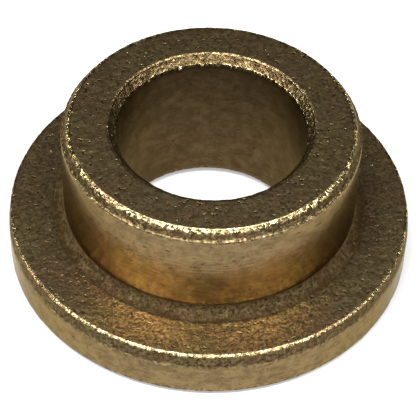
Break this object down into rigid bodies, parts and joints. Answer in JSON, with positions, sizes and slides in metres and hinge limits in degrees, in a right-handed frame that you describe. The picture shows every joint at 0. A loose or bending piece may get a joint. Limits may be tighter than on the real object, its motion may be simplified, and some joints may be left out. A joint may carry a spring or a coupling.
{
  "type": "flanged sleeve bushing",
  "caption": "One-piece sintered bronze plain bearing: a thick-walled sleeve with a running bore and a flange at one end that takes end thrust.",
  "frame": {"origin": "centre of the bore at the flange's underside, which is the face that the bushing stands on", "axes": "+Z runs along the bore from the flange to the sleeve's end. The part is round about Z, so X and Y have no features of their own."},
  "size_m": [0.035, 0.035, 0.0143],
  "materials": {
    "sintered_bronze": "sintered bronze soaked in oil: the pressed faces and chamfers are granular and dark, the sized walls are smooth and satin, and the edges are burnished"
  },
  "bodies": {
    "root": {"flanged_bushing": "sintered_bronze"}
  },
  "joints": []
}
